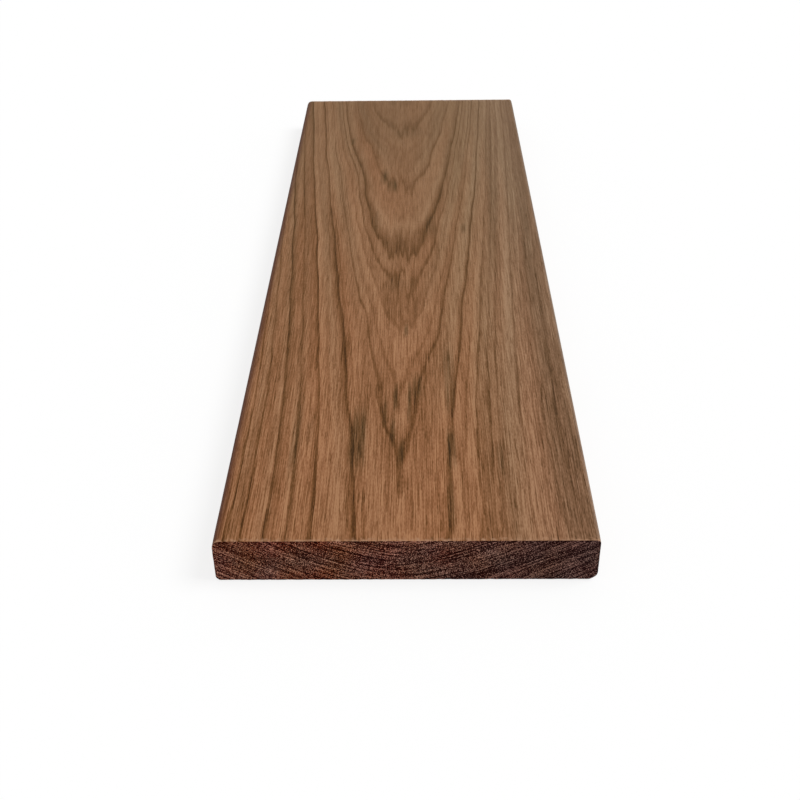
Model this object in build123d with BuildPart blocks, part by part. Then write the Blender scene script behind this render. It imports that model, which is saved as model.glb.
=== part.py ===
import os

from build123d import *

# Flat-sawn hardwood board: planed on both faces and both edges, eased by hand along its
# four long arrises and sawn square across both ends.
# The origin is the centre of the underside. +X runs across the face to the right,
# +Y runs along the grain away from the viewer, and +Z rises out of the figured face.

board_width = 140.0
board_thickness = 19.0
board_length = 450.0

# Easing radius of each long arris, named as seen from the near end.
upper_left_easing = 3.4
upper_right_easing = 1.8
lower_left_easing = 2.2
lower_right_easing = 3.8

# The sander takes at most this share of the thickness at one arris, so that the two
# easings of an edge never meet and a planed flat is left between them.
easing_limit = 0.45 * board_thickness

# A corner of the section is picked by its side, -1 left or 1 right, and its level,
# -1 underside or 1 upper face.
arris_easings = {
    (-1, 1): upper_left_easing,
    (1, 1): upper_right_easing,
    (-1, -1): lower_left_easing,
    (1, -1): lower_right_easing,
}


def corner_of(section, side, level):
    """The section's corner on one side, at the upper or the lower face."""
    row = section.vertices().group_by(Axis.Y)[-1 if level > 0 else 0]
    return row.sort_by(Axis.X)[-1 if side > 0 else 0]


os.makedirs("parts", exist_ok=True)

with BuildPart() as board:
    # The planed section stands across the middle of the length and grows both ways to
    # the two saw cuts, whose own arrises stay sharp.
    with BuildSketch(Plane.XZ) as section:
        Rectangle(board_width, board_thickness, align=(Align.CENTER, Align.MIN))
        for (side, level), easing in arris_easings.items():
            fillet(corner_of(section, side, level), radius=min(easing, easing_limit))
    extrude(amount=board_length / 2, both=True)

board.part.label = "board"
export_step(board.part, "parts/board.step")
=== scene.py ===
import math
import bmesh
import bpy
from mathutils import Matrix, Vector


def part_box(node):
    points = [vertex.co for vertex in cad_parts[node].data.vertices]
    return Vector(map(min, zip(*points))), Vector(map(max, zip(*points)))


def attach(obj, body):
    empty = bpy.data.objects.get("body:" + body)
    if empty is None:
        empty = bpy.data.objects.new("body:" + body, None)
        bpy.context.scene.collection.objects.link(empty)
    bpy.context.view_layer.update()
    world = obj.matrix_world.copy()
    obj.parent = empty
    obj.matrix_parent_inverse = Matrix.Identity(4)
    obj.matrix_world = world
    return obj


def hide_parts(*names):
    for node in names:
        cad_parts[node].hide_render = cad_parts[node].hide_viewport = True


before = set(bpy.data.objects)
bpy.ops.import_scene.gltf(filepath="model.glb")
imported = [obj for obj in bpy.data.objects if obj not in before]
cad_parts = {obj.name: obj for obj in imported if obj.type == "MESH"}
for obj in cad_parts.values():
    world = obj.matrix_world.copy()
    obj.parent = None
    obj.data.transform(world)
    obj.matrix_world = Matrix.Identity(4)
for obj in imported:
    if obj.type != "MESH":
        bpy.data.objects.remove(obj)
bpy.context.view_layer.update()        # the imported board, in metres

low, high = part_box("board")
mm = 0.001
same = 1e-6              # m, places that are nearer than this are one place

# The camera stands in front of the near end and looks down along the board.
cameraView = {
    "lens": 50.85,          # mm
    "sensor": 36,           # mm
    "clip": (0.01, 50),     # m
    "right": 4.45,          # mm from the board's centre line
    "before": 303.4,        # mm before the near end
    "above": 270.7,         # mm above the upper face
    "down": 34.62,          # degrees below level
    "turn": 1.07,           # degrees to the left
    "roll": -0.91,          # degrees
}


def placeCamera(view):
    data = bpy.data.cameras.new("camera")
    data.lens = view["lens"]
    data.sensor_width = view["sensor"]
    data.clip_start, data.clip_end = view["clip"]
    camera = bpy.data.objects.new("camera", data)
    bpy.context.collection.objects.link(camera)
    spot = Vector((view["right"] * mm, low.y - view["before"] * mm, high.z + view["above"] * mm))
    aim = (Matrix.Rotation(math.radians(view["turn"]), 4, "Z")
           @ Matrix.Rotation(math.radians(90 - view["down"]), 4, "X")
           @ Matrix.Rotation(math.radians(view["roll"]), 4, "Z"))
    camera.matrix_world = Matrix.Translation(spot) @ aim
    bpy.context.scene.camera = camera


placeCamera(cameraView)
print("camera placed")


def colour(hexCode):
    # sRGB hex to the linear values that the shader takes
    parts = [int(hexCode[i:i + 2], 16) / 255 for i in (1, 3, 5)]
    return [p / 12.92 if p <= 0.04045 else ((p + 0.055) / 1.055) ** 2.4 for p in parts] + [1]


def addNode(owner, kind, sockets={}, **settings):
    # one node of a material or the world, with its settings, typed values and links; gives its outputs
    node = owner.node_tree.nodes.new("ShaderNode" + kind)
    for name, value in settings.items():
        setattr(node, name, value)
    for name, value in sockets.items():
        if isinstance(value, bpy.types.NodeSocket):
            owner.node_tree.links.new(value, node.inputs[name])
        else:
            node.inputs[name].default_value = value
    return node.outputs


def newMaterial(name):
    material = bpy.data.materials.new(name)
    material.use_nodes = True
    material.node_tree.nodes.clear()
    return material


# How the log's growth rings lie in the board. Ring depth is in units of about one year's growth,
# and t is the share of the way from the near end to the far end. Side -1 is left, 1 is right.
log = {
    "length": 450,                   # mm of board from t 0 to t 1
    "heart": (-2.3, -5.5, 2.5),      # mm across, and how it drifts with t and t squared
    "foot": {-1: (25.4, 23.8), 1: (31.2, 22.1)},     # mm, how broad an arch is at its foot, and its growth
    "spread": (0.2, 1.27, -0.54),    # ring depth gained per mm across, and its growth
    "taper": (1.6, 9.6, -4.23),      # ring depth lost along the board, by t, t squared and t cubed
    # how the limbs bend outwards with t and t squared, first near the heart, then further out
    "flare": {-1: (-0.9, -0.25, -0.2, 1.6), 1: (-1.2, -0.7, -2.4, 5.7)},
    "flareWidth": 70,                # mm
    "tipSharpness": 0.26,            # ring depth by which the nearest arch ends in a point
    "tipBluntness": 0.05,            # and by which the far ones are blunt
    "bluntFrom": 0.5,                # t
    "tipWidth": 5,                   # mm
    # ring depth gained in one place, mm from the heart, half width, mm from the near end, half length
    "pinches": [(0.3, -15, 7, 160, 45), (0.24, 10, 6, 108, 28), (0.5, -24, 9, 325, 42)],
    "depthPerMm": 0.33,              # ring depth gained per mm down into the board
    "sideChange": (-9, 1),           # mm across, where the left side's lines give way to the right side's
}

# Ring lines: depth, darkness, how far the dark wood fades towards the heart and away from it,
# and how dark the wood beyond the line is.
archLines = [
    (-6.9, 0.3, 0.5, 0.1, 0.14), (-5.9, 0.55, 0.45, 0.1, 0.2), (-4.75, 0.35, 0.6, 0.1, 0.15),
    (-4.15, 0.46, 0.2, 0.05, 0.1), (-2.54, 0.92, 0.34, 0.05, 0.14), (-2.0, 0.7, 0.1, 0.04, 0.14),
    (-1.45, 0.4, 0.1, 0.04, 0.06), (-0.86, 0.35, 0.06, 0.02, 0.04), (-0.43, 0.64, 0.08, 0.02, 0.05),
]
leftLines = [
    (0.62, 0.4, 0.05, 0.03, 0.2), (0.98, 1.08, 0.08, 0.32, 0.1), (1.6, 0.25, 0.05, 0.05, 0.0),
    (2.25, 0.2, 0.1, 0.1, 0.0), (3.0, 1.05, 0.04, 0.32, 0.26), (3.7, 0.35, 0.1, 0.05, 0.2),
    (4.55, 0.75, 0.25, 0.12, 0.16), (5.2, 0.35, 0.1, 0.05, 0.2), (6.05, 1.05, 0.3, 0.04, 0.14),
    (6.9, 0.3, 0.05, 0.05, 0.14), (7.6, 0.75, 0.2, 0.04, 0.24), (8.1, 0.4, 0.05, 0.05, 0.26),
    (8.55, 0.85, 0.1, 0.1, 0.28), (9.0, 0.45, 0.05, 0.05, 0.3), (9.5, 0.6, 0.1, 0.1, 0.3),
]
rightLines = [
    (0.95, 0.92, 0.22, 0.08, 0.1), (1.7, 0.25, 0.05, 0.05, 0.0), (2.36, 0.58, 0.03, 0.2, 0.28),
    (3.2, 0.6, 0.2, 0.08, 0.14), (3.8, 0.4, 0.1, 0.05, 0.22), (4.3, 0.4, 0.1, 0.05, 0.06),
    (5.55, 0.6, 0.25, 0.08, 0.1), (6.1, 0.2, 0.05, 0.05, 0.15), (6.67, 0.52, 0.04, 0.25, 0.36),
    (7.45, 0.56, 0.1, 0.1, 0.36), (7.85, 0.5, 0.1, 0.05, 0.38), (8.5, 0.6, 0.15, 0.1, 0.36),
    (8.95, 0.46, 0.05, 0.05, 0.38), (9.4, 0.56, 0.2, 0.05, 0.36),
]
ringLine = {
    "core": 0.04,          # half the width of a line's darkest part, in ring depth
    "outerCore": 0.5,      # share of that half width which is left away from the heart
    "knee": 0.45,          # share of a fade's reach where it turns gentle
    "kneeDark": 0.35,      # share of the darkness that is left there
    "fadeEnd": 1.2,        # share of a fade's reach where it is over
    "leastGap": 0.005,     # ring depth between two points of the profile
    "open": 0.16,          # how dark the wood before the first line is
}
# One curve holds 256 steps, so the rings are shared out over five of them.
ringSpans = [(-7.6, -2.9), (-2.9, 0.4), (0.4, 3.8), (3.8, 7.1), (7.1, 10.4)]
spanMargin = 0.01          # ring depth at both ends of a span that gets no point of its own

# Smoky stains and two pin knots in the upper face.
stains = {
    "soak": 4,             # mm that they soak in
    "edge": 4,             # how abruptly they end; 2 is soft
    # mm across, mm from the near end, half width, half length, strength
    "marks": [
        (-19.6, 62, 3.4, 20, 0.86), (18.2, 103, 2.3, 24, 0.75), (17.8, 54, 1.8, 13, 0.75),
        (17.0, 20, 1.5, 16, 0.5), (4.0, 98, 2.6, 9, 0.62), (-4.7, 90, 0.9, 9, 0.8), (1.0, 88, 0.9, 13, 0.8),
        (-2.2, 52, 1.1, 7, 0.9), (-5.6, 66, 1.0, 9, 0.8), (-9.0, 80, 1.0, 10, 0.4),
        (-44.5, 62, 1.8, 24, 0.5), (-39, 67, 1.6, 10, 0.4), (-4, 190, 7, 7, 0.2), (-17, 260, 2.6, 13, 0.32),
        (12, 256, 3, 14, 0.32), (-0.6, 146, 0.8, 5, 1.0), (36.9, 48, 1.2, 9, 0.5), (38, 130, 3.5, 50, 0.1),
        (-14, 320, 2.4, 9, 0.7), (-9.5, 308, 2.8, 8, 0.8), (0, 390, 9, 7, 0.2),
        (-35, 377, 1.1, 4, 1.0), (29.7, 252, 1.3, 4.5, 0.9),      # the pin knots
    ],
}


def ringDepth(x, y, z):
    # how far into the rings a place in mm lies
    t = y / log["length"] + 0.5
    fromEnd = y + log["length"] / 2
    heart, drift, curl = log["heart"]
    across = x - (heart + drift * t + curl * t * t)
    side = 1 if across > 0 else -1
    foot, footGrowth = log["foot"][side]
    foot += footGrowth * t
    spread, slope, bend = log["spread"]
    spread *= 1 + slope * t + bend * t * t
    steady, squared, cubed = log["taper"]
    taper = steady * t + squared * t ** 2 + cubed * t ** 3
    out = abs(across) / log["flareWidth"]
    close, closeCurl, wide, wideCurl = log["flare"][side]
    flare = out * (close * t + closeCurl * t * t) + out * out * (wide * t + wideCurl * t * t)
    blunt = min(t / log["bluntFrom"], 1)
    tip = log["tipSharpness"] * (1 - blunt) - log["tipBluntness"] * blunt
    tip *= math.exp(-(across / log["tipWidth"]) ** 2)
    pinched = sum(gain * math.exp(-((across - right) / halfWidth) ** 2
                                  - ((fromEnd - ahead) / halfLength) ** 2)
                  for gain, right, halfWidth, ahead, halfLength in log["pinches"])
    down = (high.z / mm - z) * log["depthPerMm"]
    return spread * (math.hypot(across, foot) - foot) - taper + flare - tip + pinched + down


def smokeAt(x, y, z):
    # strength of the stains
    soaked = math.exp(-((high.z / mm - z) / stains["soak"]) ** 2)
    fromEnd = y + log["length"] / 2
    edge = stains["edge"]
    total = sum(strength * math.exp(-((x - right) / halfWidth) ** edge
                                    - ((fromEnd - ahead) / halfLength) ** edge)
                for right, ahead, halfWidth, halfLength, strength in stains["marks"])
    return min(total, 1.0) * soaked


def layFigure(board):
    # the figure is worked out at each point and kept with the mesh for the materials to read
    depths, slopes, smoke = [], [], []
    step = 1        # mm
    for vertex in board.data.vertices:
        x, y, z = (vertex.co / mm)[:]
        depths.append(ringDepth(x, y, z))
        along = (ringDepth(x, y + step, z) - ringDepth(x, y - step, z)) / (2 * step)
        across = (ringDepth(x + step, y, z) - ringDepth(x - step, y, z)) / (2 * step)
        slopes.append(along * abs(along) / math.hypot(along, across))    # near nothing in the steep limbs
        smoke.append(smokeAt(x, y, z))
    for name, values in (("ringDepth", depths), ("ringSlope", slopes), ("smoke", smoke)):
        layer = board.data.attributes.new(name, "FLOAT", "POINT")
        layer.data.foreach_set("value", values)


# Nearly all of a noise lies between these two values. Its offset moves it to a place of its own, by
# these shares of the offset along the three axes.
noiseEnds = (0.3, 0.7)
offsetShares = (1.0, 1.7, 2.3)


def speckle(material, place, widthMm, lengthMm, offset, least, most, detail=0.0):
    # noise with specks widthMm across the grain and lengthMm along it, spread from least to most
    squeezed = addNode(material, "VectorMath", {0: place, 1: (1 / widthMm, 1 / lengthMm, 1 / widthMm),
                                                2: [offset * share for share in offsetShares]},
                       operation="MULTIPLY_ADD")[0]
    specks = addNode(material, "TexNoise", {"Vector": squeezed, "Scale": 1, "Detail": detail})["Fac"]
    return addNode(material, "MapRange", {0: specks, 1: noiseEnds[0], 2: noiseEnds[1], 3: least, 4: most},
                   clamp=False)[0]


def ringProfile(lines):
    # ring depths and how dark the wood is at each of them
    level = ringLine["open"]
    core, knee, kneeDark, fadeEnd = [ringLine[k] for k in ("core", "knee", "kneeDark", "fadeEnd")]
    points = [(ringSpans[0][0], level)]
    for ring, dark, inner, outer, beyond in lines:
        for depth, value in ((ring - core - inner * fadeEnd, level),
                             (ring - core - inner * knee, level + (dark - level) * kneeDark),
                             (ring - core, dark),
                             (ring + core * ringLine["outerCore"], dark),
                             (ring + core + outer * knee, beyond + (dark - beyond) * kneeDark),
                             (ring + core + outer * fadeEnd, beyond)):
            if depth > points[-1][0] + ringLine["leastGap"]:
                points.append((depth, value))
        level = beyond
    return points + [(ringSpans[-1][1], level)]


def profileAt(points, depth):
    # how dark the wood is at one ring depth
    for (start, before), (end, after) in zip(points, points[1:]):
        if start <= depth <= end:
            return before + (after - before) * (depth - start) / (end - start)
    return points[-1][1]


def ringCurve(material, depth, points, span):
    # the stretch of a profile that lies in one span, as a curve
    start, end = span
    share = addNode(material, "MapRange", {0: depth, 1: start, 2: end, 3: 0, 4: 1})[0]
    darkness = addNode(material, "FloatCurve", {"Value": share})[0]
    mapping = darkness.node.mapping
    curve = mapping.curves[0]
    curve.points[0].location = (0.0, profileAt(points, start))
    curve.points[1].location = (1.0, profileAt(points, end))
    for ring, value in points:
        if start + spanMargin < ring < end - spanMargin:
            curve.points.new((ring - start) / (end - start), value)
    for point in curve.points:
        point.handle_type = "VECTOR"
    mapping.update()
    return darkness


def sideWood(material, depth, lines):
    points = ringProfile(lines)
    wood = ringCurve(material, depth, points, ringSpans[0])
    for span in ringSpans[1:]:
        beyond = addNode(material, "Math", {0: depth, 1: span[0]}, operation="GREATER_THAN")[0]
        wood = addNode(material, "Mix", {0: beyond, 2: wood, 3: ringCurve(material, depth, points, span)},
                       data_type="FLOAT")[0]
    return wood


def lateWood(material, depth, x):
    # dark ring lines, which differ left and right of the heart; deeper rings repeat them
    depth = addNode(material, "Math", {0: depth, 1: ringSpans[0][0], 2: ringSpans[-1][1]},
                    operation="WRAP")[0]
    left, right = log["sideChange"]
    side = addNode(material, "MapRange", {0: x, 1: left, 2: right, 3: 0, 4: 1})[0]
    return addNode(material, "Mix", {0: side, 2: sideWood(material, depth, archLines + leftLines),
                                     3: sideWood(material, depth, archLines + rightLines)},
                   data_type="FLOAT")[0]


def toneRamp(material, tone, stops):
    # the colour of each tone, from a list that begins at tone 0 and ends at 1
    shade = addNode(material, "ValToRGB", {0: tone})[0]
    ramp = shade.node.color_ramp
    ramp.elements[0].color = colour(stops[0][1])
    ramp.elements[-1].color = colour(stops[-1][1])
    for where, hexCode in stops[1:-1]:
        ramp.elements.new(where).color = colour(hexCode)
    return shade


# Oiled, planed walnut: pinkish tan ground, olive-brown late wood, long dark pores and a low satin.
# Tones run from the darkest ring line, 0, to the palest fibre, 1. A noise is given by mm across the
# grain, mm along it, its offset, and its least and most.
longGrainLook = {
    "warm": [(0.0, "#42270D"), (0.16, "#543213"), (0.37, "#694322"), (0.61, "#825534"), (0.79, "#956544"),
             (1.0, "#A87854")],
    "olive": [(0.0, "#38260F"), (0.35, "#5C4225"), (0.6, "#74563A"), (0.77, "#846749"), (1.0, "#977A5C")],
    "ground": 0.87,                # tone of the wood between the lines
    "lineDepth": 0.6,              # tone that a line of darkness 1 takes away
    # Teeth at the arch tips: mm across, mm long, offset, and mm that they reach along the fibres.
    "teeth": [(5.0, 120, 3.0, 3), (2.3, 60, 7.0, 9), (0.7, 25, 11.0, 4)],
    # How the lines waver: mm across, mm along, ring depth.
    "wavering": [(16, 100, 0.05), (22, 38, 0.11)],
    "waverOffset": 17.0,
    # What follows the rings: scale by ring depth, length and width, offset, least and most.
    "strength": ((1.1, 3.5, 1.0), 31.0, 0.85, 1.15),       # each line comes and goes
    "band": ((1.3, 2.5, 0.7), 41.0, -0.06, 0.06),          # the wood between them changes tone
    "fineBand": ((4.5, 4.0, 1.0), 51.0, -0.05, 0.05),
    "hue": ((0.8, 2.0, 1.5), 61.0, -0.1, 0.15),            # and hue
    "ringWidth": 55,               # mm across that count as 1 there
    "smokeStreaks": (1.1, 40, 75.0, 0.5, 1.3),
    "smokeDepth": 0.46,            # tone that a full stain takes away
    "smokeOlive": 0.6,             # how olive it is
    # Fibres: mm across, mm long, and how far they change the tone. The finest are about twice as
    # coarse as the real ones, so that they show. The fine ones fade towards the far end.
    "broadFibres": [(9.0, 200, 0.05), (5.0, 170, 0.05), (2.4, 110, 0.04), (1.2, 70, 0.05)],
    "fineFibres": [(0.8, 60, 0.1), (0.4, 34, 0.3), (0.36, 11, 0.22), (0.36, 1.8, 0.18)],
    "fibreOffset": 5.0,            # offset for each mm of width
    "farFibres": 0.4,              # how much of the fine fibres is left at the far end
    "openPores": (0.45, 7, 81.0, 0, 1),     # also drawn about twice as coarse as real ones
    "poreEnds": (0.78, 0.95),      # noise at which a pore begins and is fully open
    "poreDark": 0.22,              # tone that an open pore takes away
    "poreDepth": 0.04,             # mm
    "farDark": (0.12, 0.04),       # tone lost at the far end, partly the wood's own and partly painted shade, at the middle and at the right edge
    "farSoftness": 0.36,           # how much of the contrast is gone there
    "farTone": 0.69,               # the tone that it fades to
    "farOlive": 0.85,              # how olive the wood is there
    "rightOlive": 0.42,            # and how much more so at the right edge
    "toRight": (0, 60),            # mm across, the middle and the right edge
    "greying": (30, 65, 0.92),     # mm across between which colour is lost, and how much is left
    "upper": (13, 17),             # mm up, where the painted shade and sheen of the upper arrises begin and are full
    # Colour, how much of it shows, and mm from the edge where it begins and is full.
    "paintedShadeLeft": ("#4C2416", 0.8, 4.2, 1.2),        # painted shade on the upper left arris, dark and red
    "paintedSheenRight": ("#83786E", 0.3, 1.8, 0.6),        # painted sheen on the upper right arris, grey
    # The saw tears the fibres pale along the arrises at both ends.
    "torn": "#AA8266",
    "tornReach": 2.0,              # mm
    "frayed": (0.8, 0.8, 91.0, -0.5, 0.5),       # mm that the torn edge wanders
    "tufts": (1.8, 1.8, 95.0, -0.1, 1.1),
    "roughness": (0.72, 0.56),     # of the darkest wood and of the palest
    "specular": 0.08,
    "ior": 1.48,
}


def oiledLongGrain():
    look = longGrainLook
    material = newMaterial("oiledWalnutLongGrain")
    place = addNode(material, "VectorMath", {0: addNode(material, "TexCoord")["Object"], "Scale": 1 / mm},
                    operation="SCALE")[0]
    x, y, z = addNode(material, "SeparateXYZ", {0: place})
    along = addNode(material, "Math", {0: y, 1: 1 / log["length"], 2: 0.5}, operation="MULTIPLY_ADD")[0]
    depth, slope, smoke = [addNode(material, "Attribute", attribute_name=name)["Fac"]
                           for name in ("ringDepth", "ringSlope", "smoke")]
    # the line jumps along the fibres, so the arches end in ragged teeth while their limbs stay clean
    jag = None
    for width, length, offset, reach in look["teeth"]:
        step = speckle(material, place, width, length, offset, -reach, reach)
        jag = step if jag is None else addNode(material, "Math", {0: jag, 1: step}, operation="ADD")[0]
    depth = addNode(material, "Math", {0: jag, 1: slope, 2: depth}, operation="MULTIPLY_ADD")[0]
    for width, length, change in look["wavering"]:
        wave = speckle(material, place, width, length, look["waverOffset"], -change, change, 1)
        depth = addNode(material, "Math", {0: depth, 1: wave}, operation="ADD")[0]
    # what follows the rings
    sideways = addNode(material, "Math", {0: x, 1: 1 / look["ringWidth"]}, operation="MULTIPLY")[0]
    ringPlace = addNode(material, "CombineXYZ", {0: depth, 1: along, 2: sideways})[0]
    follow = {}
    for name in ("strength", "band", "fineBand", "hue"):
        scale, offset, least, most = look[name]
        shifted = addNode(material, "VectorMath", {0: ringPlace, 1: scale, 2: (offset, offset, offset)},
                          operation="MULTIPLY_ADD")[0]
        noise = addNode(material, "TexNoise", {"Vector": shifted, "Scale": 1, "Detail": 0})["Fac"]
        follow[name] = addNode(material, "MapRange", {0: noise, 1: noiseEnds[0], 2: noiseEnds[1],
                                                      3: least, 4: most}, clamp=False)[0]
    # tone: ring lines, stains, fibres and pores
    dark = addNode(material, "Math", {0: lateWood(material, depth, x), 1: follow["strength"]},
                   operation="MULTIPLY")[0]
    tone = addNode(material, "Math", {0: dark, 1: -look["lineDepth"], 2: look["ground"]},
                   operation="MULTIPLY_ADD")[0]
    streaky = speckle(material, place, *look["smokeStreaks"])
    smoke = addNode(material, "Math", {0: smoke, 1: streaky}, operation="MULTIPLY")[0]
    tone = addNode(material, "Math", {0: smoke, 1: -look["smokeDepth"], 2: tone},
                   operation="MULTIPLY_ADD")[0]
    fibres = [speckle(material, place, width, length, look["fibreOffset"] * width, -change / 2, change / 2)
              for width, length, change in look["broadFibres"]]
    for part in [follow["band"], follow["fineBand"]] + fibres:
        tone = addNode(material, "Math", {0: tone, 1: part}, operation="ADD")[0]
    nearness = addNode(material, "MapRange", {0: along, 1: 0, 2: 1, 3: 1, 4: look["farFibres"]})[0]
    for width, length, change in look["fineFibres"]:
        part = speckle(material, place, width, length, look["fibreOffset"] * width, -change / 2, change / 2)
        tone = addNode(material, "Math", {0: part, 1: nearness, 2: tone}, operation="MULTIPLY_ADD")[0]
    openPores = speckle(material, place, *look["openPores"])
    closed, opened = look["poreEnds"]
    openPores = addNode(material, "MapRange", {0: openPores, 1: closed, 2: opened, 3: 0, 4: 1})[0]
    pores = addNode(material, "Math", {0: nearness, 1: look["poreDark"]}, operation="MULTIPLY")[0]
    pores = addNode(material, "Math", {0: openPores, 1: pores}, operation="MULTIPLY")[0]
    tone = addNode(material, "Math", {0: tone, 1: pores}, operation="SUBTRACT")[0]
    # the far end is darker, partly in the wood and partly as painted shade, and softer
    middle, edge = look["toRight"]
    farDark, farDarkRight = look["farDark"]
    farShade = addNode(material, "MapRange", {0: x, 1: middle, 2: edge, 3: -farDark, 4: -farDarkRight})[0]
    tone = addNode(material, "Math", {0: along, 1: farShade, 2: tone}, operation="MULTIPLY_ADD")[0]
    softer = addNode(material, "Math", {0: along, 1: look["farSoftness"]}, operation="MULTIPLY")[0]
    tone = addNode(material, "Mix", {0: softer, 2: tone, 3: look["farTone"]}, data_type="FLOAT")[0]
    # colour: warm near the left and the near end, olive towards the right and the far end
    olive = addNode(material, "Math", {0: along, 1: look["farOlive"], 2: follow["hue"]},
                    operation="MULTIPLY_ADD")[0]
    rightward = addNode(material, "MapRange", {0: x, 1: middle, 2: edge, 3: 0, 4: look["rightOlive"]})[0]
    olive = addNode(material, "Math", {0: olive, 1: rightward}, operation="ADD")[0]
    olive = addNode(material, "Math", {0: smoke, 1: look["smokeOlive"], 2: olive},
                    operation="MULTIPLY_ADD", use_clamp=True)[0]
    wood = addNode(material, "Mix", {0: olive, 6: toneRamp(material, tone, look["warm"]),
                                     7: toneRamp(material, tone, look["olive"])}, data_type="RGBA")[2]
    start, end, left = look["greying"]
    greying = addNode(material, "MapRange", {0: x, 1: start, 2: end, 3: 1, 4: left})[0]
    wood = addNode(material, "HueSaturation", {"Saturation": greying, "Color": wood})[0]
    # the two upper arrises: painted shade on the left one and painted sheen on the right one
    start, end = look["upper"]
    upper = addNode(material, "MapRange", {0: z, 1: start, 2: end, 3: 0, 4: 1})[0]
    for name, corner, inward in (("paintedShadeLeft", low.x / mm, 1), ("paintedSheenRight", high.x / mm, -1)):
        shade, share, start, end = look[name]
        arris = addNode(material, "MapRange", {0: x, 1: corner + inward * start, 2: corner + inward * end,
                                               3: 0, 4: share})[0]
        arris = addNode(material, "Math", {0: arris, 1: upper}, operation="MULTIPLY")[0]
        wood = addNode(material, "Mix", {0: arris, 6: wood, 7: colour(shade)}, data_type="RGBA")[2]
    # torn fibres at both ends
    fromMiddle = addNode(material, "Math", {0: y}, operation="ABSOLUTE")[0]
    frayed = speckle(material, place, *look["frayed"])
    fromMiddle = addNode(material, "Math", {0: fromMiddle, 1: frayed}, operation="ADD")[0]
    torn = addNode(material, "MapRange", {0: fromMiddle, 1: high.y / mm - look["tornReach"],
                                          2: high.y / mm, 3: 0, 4: 1})[0]
    tufts = speckle(material, place, *look["tufts"])
    torn = addNode(material, "Math", {0: torn, 1: tufts}, operation="MULTIPLY", use_clamp=True)[0]
    wood = addNode(material, "Mix", {0: torn, 6: wood, 7: colour(look["torn"])}, data_type="RGBA")[2]
    relief = addNode(material, "Bump", {"Height": openPores, "Distance": look["poreDepth"] * mm,
                                        "Strength": 1.0}, invert=True)[0]
    darkRough, paleRough = look["roughness"]
    roughness = addNode(material, "MapRange", {0: tone, 1: 0, 2: 1, 3: darkRough, 4: paleRough})[0]
    surface = addNode(material, "BsdfPrincipled", {"Base Color": wood, "Roughness": roughness,
                                                   "Specular IOR Level": look["specular"],
                                                   "IOR": look["ior"], "Normal": relief})
    addNode(material, "OutputMaterial", {"Surface": surface[0]})
    return material


# Bare sawn end grain: dark, because its open pores drink light, with pale fibre ends along the rings.
# Tones and noises are given as for the long grain.
endGrainLook = {
    "maroon": [(0.0, "#260400"), (0.25, "#431308"), (0.5, "#683322"), (0.75, "#92513C"), (1.0, "#C28A72")],
    "purple": [(0.0, "#1E0504"), (0.25, "#331614"), (0.5, "#4D302D"), (0.75, "#704E48"), (1.0, "#A37D70")],
    "ground": 0.465,
    "lineDepth": 0.5,
    "wavering": (14, 14, 17.0, -0.07, 0.07, 1),      # ring depth, with one octave of detail
    "heartDistance": 125,          # mm from the underside up to the pith, to which the rays lean
    # Bands of early and late wood, thin arcs, rays that cross them, fibre ends and pores: mm along
    # the arc, mm towards the heart, and how far they change the tone. The pores are drawn about twice
    # as coarse as real ones, so that they show.
    "grit": [(26, 5, 0.14), (40, 1.3, 0.14), (34, 0.5, 0.56), (12, 0.36, 0.7), (0.6, 7, 0.16),
             (1.2, 0.6, 0.2), (0.5, 0.42, 1.2), (0.33, 0.28, 1.3)],
    "gritOffset": 3.0,             # to which the mm along the arc are added
    "darkArcs": (45, 0.8, 43.0, 0, 1),
    "arcEnds": (0.55, 0.85),       # noise at which a dark arc begins and is full
    "arcDepth": 0.22,              # tone that it takes away
    "dusk": (-25, 50),             # mm across, where maroon begins to turn and is all purple
    "duskDark": 0.09,              # tone lost there
    "shadeUnderArris": (1.6, 0.6),           # mm below the face, where a painted shade line begins and is full
    "shadeUnderArrisDark": 0.2,
    "shadeUnderArrisBreaks": (5, 0.8, 37.0, 0.2, 1.2),
    # Patches that dried redder or yellower.
    "hue": (14, 14, 23.0, 0.495, 0.505),
    "saturation": (9, 9, 29.0, 0.94, 1.08),
    "relief": 0.12,                # mm that the saw leaves between the fibre ends
    "roughness": 0.85,
    "specular": 0.04,
    "ior": 1.48,
}


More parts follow.
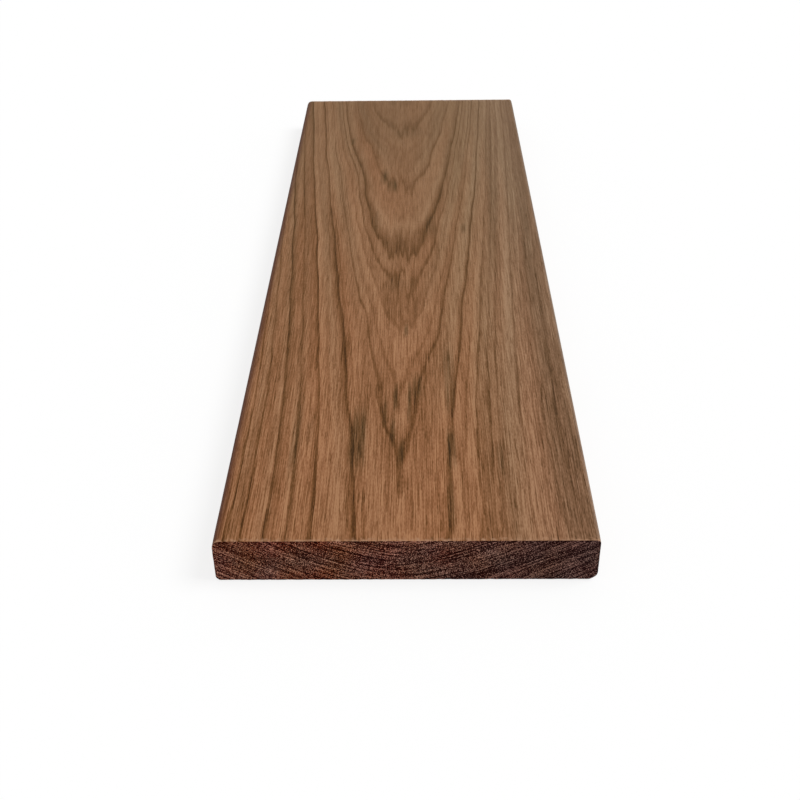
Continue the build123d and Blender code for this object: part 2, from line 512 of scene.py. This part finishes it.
def sawnEndGrain():
    look = endGrainLook
    material = newMaterial("sawnWalnutEndGrain")
    place = addNode(material, "VectorMath", {0: addNode(material, "TexCoord")["Object"], "Scale": 1 / mm},
                    operation="SCALE")[0]
    x, y, z = addNode(material, "SeparateXYZ", {0: place})
    depth = addNode(material, "Attribute", attribute_name="ringDepth")["Fac"]
    wave = speckle(material, place, *look["wavering"])
    depth = addNode(material, "Math", {0: depth, 1: wave}, operation="ADD")[0]
    # mm along the arc, mm towards the heart
    inward = addNode(material, "Math", {0: depth, 1: 1 / log["depthPerMm"]}, operation="MULTIPLY")[0]
    fan = addNode(material, "Math", {0: z, 1: 1 / look["heartDistance"], 2: 1.0},
                  operation="MULTIPLY_ADD")[0]
    fan = addNode(material, "Math", {0: x, 1: fan}, operation="MULTIPLY")[0]
    arcPlace = addNode(material, "CombineXYZ", {0: fan, 1: inward, 2: y})[0]
    tone = addNode(material, "Math", {0: lateWood(material, depth, x), 1: -look["lineDepth"],
                                      2: look["ground"]}, operation="MULTIPLY_ADD")[0]
    grit = None
    for width, length, change in look["grit"]:
        part = speckle(material, arcPlace, width, length, look["gritOffset"] + width,
                       -change / 2, change / 2)
        grit = part if grit is None else addNode(material, "Math", {0: grit, 1: part}, operation="ADD")[0]
    tone = addNode(material, "Math", {0: tone, 1: grit}, operation="ADD")[0]
    arcs = speckle(material, arcPlace, *look["darkArcs"])
    faint, full = look["arcEnds"]
    arcs = addNode(material, "MapRange", {0: arcs, 1: faint, 2: full, 3: 0, 4: look["arcDepth"]})[0]
    tone = addNode(material, "Math", {0: tone, 1: arcs}, operation="SUBTRACT")[0]
    left, right = look["dusk"]
    dusky = addNode(material, "MapRange", {0: x, 1: left, 2: right, 3: 0, 4: 1})[0]
    tone = addNode(material, "Math", {0: dusky, 1: -look["duskDark"], 2: tone},
                   operation="MULTIPLY_ADD")[0]
    # painted shade: a dark, broken line under the torn arris
    lower, upper = [high.z / mm - below for below in look["shadeUnderArris"]]
    shadeUnderArris = addNode(material, "MapRange", {0: z, 1: lower, 2: upper, 3: 0, 4: look["shadeUnderArrisDark"]})[0]
    broken = speckle(material, place, *look["shadeUnderArrisBreaks"])
    shadeUnderArris = addNode(material, "Math", {0: shadeUnderArris, 1: broken}, operation="MULTIPLY")[0]
    tone = addNode(material, "Math", {0: tone, 1: shadeUnderArris}, operation="SUBTRACT")[0]
    wood = addNode(material, "Mix", {0: dusky, 6: toneRamp(material, tone, look["maroon"]),
                                     7: toneRamp(material, tone, look["purple"])}, data_type="RGBA")[2]
    wood = addNode(material, "HueSaturation", {"Hue": speckle(material, place, *look["hue"]),
                                               "Saturation": speckle(material, place, *look["saturation"]),
                                               "Color": wood})[0]
    relief = addNode(material, "Bump", {"Height": grit, "Distance": look["relief"] * mm,
                                        "Strength": 1.0})[0]
    surface = addNode(material, "BsdfPrincipled", {"Base Color": wood, "Roughness": look["roughness"],
                                                   "Specular IOR Level": look["specular"],
                                                   "IOR": look["ior"], "Normal": relief})
    addNode(material, "OutputMaterial", {"Surface": surface[0]})
    return material


# The planed board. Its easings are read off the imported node's section.
boardShape = {
    "columns": 190,       # strips across the faces
    "rows": 26,           # strips up the edges
    "stations": 130,      # rings of points along the grain
    "arcSteps": 7,        # facets round each eased arris
    "arcProfile": 0.5,    # round
    "sawnArris": 0.35,    # mm taken off the arris at both saw cuts
    "sawnSteps": 2,       # facets there
    "sawnProfile": 0.6,   # a little fuller than round
    "sawnReach": 1.1,     # share of that arris which still counts as saw cut
    "sawMarks": (1.6, 0.22),      # how coarse the sawn relief is, and how deep, in mm
    "handSanding": (45, 0.35),    # the same for the way the eased arrises wander
    "endFacing": 0.8,     # a face that looks along the grain by more than this is end grain
    "smoothAngle": 30,    # degrees
}


def easingRadius(side, level):
    # distance from the corner to where the planed edge begins
    points = [v.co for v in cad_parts["board"].data.vertices]
    edgeX = high.x if side > 0 else low.x
    flat = [p.z for p in points if abs(p.x - edgeX) < same]
    return high.z - max(flat) if level > 0 else min(flat) - low.z


def buildBoard(shape):
    bpy.ops.object.select_all(action="DESELECT")
    bpy.ops.mesh.primitive_cube_add(size=1, location=(low + high) / 2)
    board = bpy.context.object
    board.name = "planedBoard"
    bpy.ops.transform.resize(value=high - low)
    bpy.ops.object.transform_apply(location=True, rotation=True, scale=True)
    easings = {(side, level): easingRadius(side, level) for side in (-1, 1) for level in (-1, 1)}
    print("easings in mm", {k: round(v / mm, 2) for k, v in easings.items()})
    bpy.ops.object.mode_set(mode="EDIT")
    bpy.ops.mesh.select_mode(type="EDGE")
    for (side, level), radius in easings.items():
        bpy.ops.mesh.select_all(action="DESELECT")
        mesh = bmesh.from_edit_mesh(board.data)
        cornerX = high.x if side > 0 else low.x
        cornerZ = high.z if level > 0 else low.z
        for edge in mesh.edges:
            if all(abs(v.co.x - cornerX) < same and abs(v.co.z - cornerZ) < same for v in edge.verts):
                edge.select_set(True)
        bmesh.update_edit_mesh(board.data)
        bpy.ops.mesh.bevel(offset=radius, segments=shape["arcSteps"], profile=shape["arcProfile"],
                           affect="EDGES")
    # the saw cuts leave their own arris a hair blunt
    bpy.ops.mesh.select_all(action="DESELECT")
    mesh = bmesh.from_edit_mesh(board.data)
    for edge in mesh.edges:
        ends = [v.co.y for v in edge.verts]
        if abs(ends[0] - ends[1]) < same:
            edge.select_set(True)
    bmesh.update_edit_mesh(board.data)
    bpy.ops.mesh.bevel(offset=shape["sawnArris"] * mm, segments=shape["sawnSteps"],
                       profile=shape["sawnProfile"], affect="EDGES")
    # strips across the faces and up the edges
    for axis, count, start, end in ((0, shape["columns"], low.x, high.x),
                                    (2, shape["rows"], low.z, high.z)):
        for i in range(1, count):
            spot = [0.0, 0.0, 0.0]
            spot[axis] = start + (end - start) * i / count
            normal = [1.0 if a == axis else 0.0 for a in range(3)]
            bpy.ops.mesh.select_all(action="SELECT")
            bpy.ops.mesh.bisect(plane_co=spot, plane_no=normal)
    # rings of points along the grain
    bpy.ops.mesh.select_all(action="DESELECT")
    mesh = bmesh.from_edit_mesh(board.data)
    for edge in mesh.edges:
        if abs(edge.verts[0].co.y - edge.verts[1].co.y) > (high.y - low.y) / 2:
            edge.select_set(True)
    bmesh.update_edit_mesh(board.data)
    bpy.ops.mesh.subdivide(number_cuts=shape["stations"])
    bpy.ops.object.mode_set(mode="OBJECT")
    return board


def takeWood(board, name, touched, coarseness, depth):
    # uneven relief that only takes wood away, so the board stays inside its packed size
    group = board.vertex_groups.new(name=name)
    group.add([v.index for v in board.data.vertices if touched(v.co)], 1.0, "REPLACE")
    texture = bpy.data.textures.new(name, "CLOUDS")
    texture.noise_scale = coarseness * mm
    uneven = board.modifiers.new(name, "DISPLACE")
    uneven.texture = texture
    uneven.texture_coords = "LOCAL"
    uneven.vertex_group = name
    uneven.mid_level = 1.0
    uneven.strength = depth * mm
    bpy.context.view_layer.objects.active = board
    bpy.ops.object.modifier_apply(modifier=name)


def atSawCut(point):
    # on an end face or its blunted arris
    return abs(point.y) > high.y - boardShape["sawnArris"] * boardShape["sawnReach"] * mm


def onEasedArris(point):
    offFaces = min(point.x - low.x, high.x - point.x, point.z - low.z, high.z - point.z) > same
    return offFaces and not atSawCut(point)


board = buildBoard(boardShape)
board.data.materials.append(oiledLongGrain())
board.data.materials.append(sawnEndGrain())
for face in board.data.polygons:
    face.material_index = 1 if abs(face.normal.y) > boardShape["endFacing"] else 0
takeWood(board, "sawMarks", atSawCut, *boardShape["sawMarks"])
takeWood(board, "handSanding", onEasedArris, *boardShape["handSanding"])
layFigure(board)
bpy.ops.object.select_all(action="DESELECT")
board.select_set(True)
bpy.context.view_layer.objects.active = board
bpy.ops.object.shade_smooth_by_angle(angle=math.radians(boardShape["smoothAngle"]))
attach(board, "root")
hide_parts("board")
print("board built,", len(board.data.polygons), "faces")

# A pale floor that stays near white and keeps a light shadow, under a soft sky and one soft key light.
studio = {
    "floorSize": 8.0,              # m
    "floorDrop": 0.2,              # mm below the board
    "floorPaint": "#FAFAFA",
    "floorGlow": 1.01,             # what the camera sees of the floor is mostly this white
    "glowShare": 0.8,              # and the rest shows the shadow
    "white": "#FFFFFF",
    "sky": 0.5,
    "seenSky": 1.0,                # what the camera and reflections see of it
    "key": 2.0,
    "keySoftness": 30,             # degrees
    "keyFrom": (0.6, 0.05, 0.8),
}


def paleFloor():
    material = newMaterial("mattWhitePaint")
    white = addNode(material, "BsdfDiffuse", {"Color": colour(studio["floorPaint"])})[0]
    lit = addNode(material, "Emission", {"Color": colour(studio["white"]),
                                         "Strength": studio["floorGlow"]})[0]
    seen = addNode(material, "LightPath")["Is Camera Ray"]
    share = addNode(material, "Math", {0: seen, 1: studio["glowShare"]}, operation="MULTIPLY")[0]
    both = addNode(material, "MixShader", {0: share, 1: white, 2: lit})[0]
    addNode(material, "OutputMaterial", {"Surface": both})
    return material


bpy.ops.object.select_all(action="DESELECT")
bpy.ops.mesh.primitive_plane_add(size=studio["floorSize"],
                                 location=(0, 0, low.z - studio["floorDrop"] * mm))
floor = bpy.context.object
floor.name = "floor"
floor.data.materials.append(paleFloor())

world = bpy.data.worlds.new("studio")
bpy.context.scene.world = world
world.use_nodes = True
world.node_tree.nodes.clear()
white = colour(studio["white"])
sky, seenSky = [addNode(world, "Background", {"Color": white, "Strength": studio[name]})[0]
                for name in ("sky", "seenSky")]
ray = addNode(world, "LightPath")
shown = addNode(world, "Math", {0: ray["Is Camera Ray"], 1: ray["Is Glossy Ray"]}, operation="MAXIMUM")[0]
shown = addNode(world, "Math", {0: shown, 1: ray["Is Transmission Ray"]}, operation="MAXIMUM")[0]
backdrop = addNode(world, "MixShader", {0: shown, 1: sky, 2: seenSky})[0]
addNode(world, "OutputWorld", {"Surface": backdrop})

key = bpy.data.objects.new("key", bpy.data.lights.new("key", "SUN"))
bpy.context.collection.objects.link(key)
key.data.energy = studio["key"]
key.data.angle = math.radians(studio["keySoftness"])
key.rotation_euler = Vector(studio["keyFrom"]).to_track_quat("Z", "Y").to_euler()

bpy.context.scene.view_settings.view_transform = "Standard"
print("studio set")
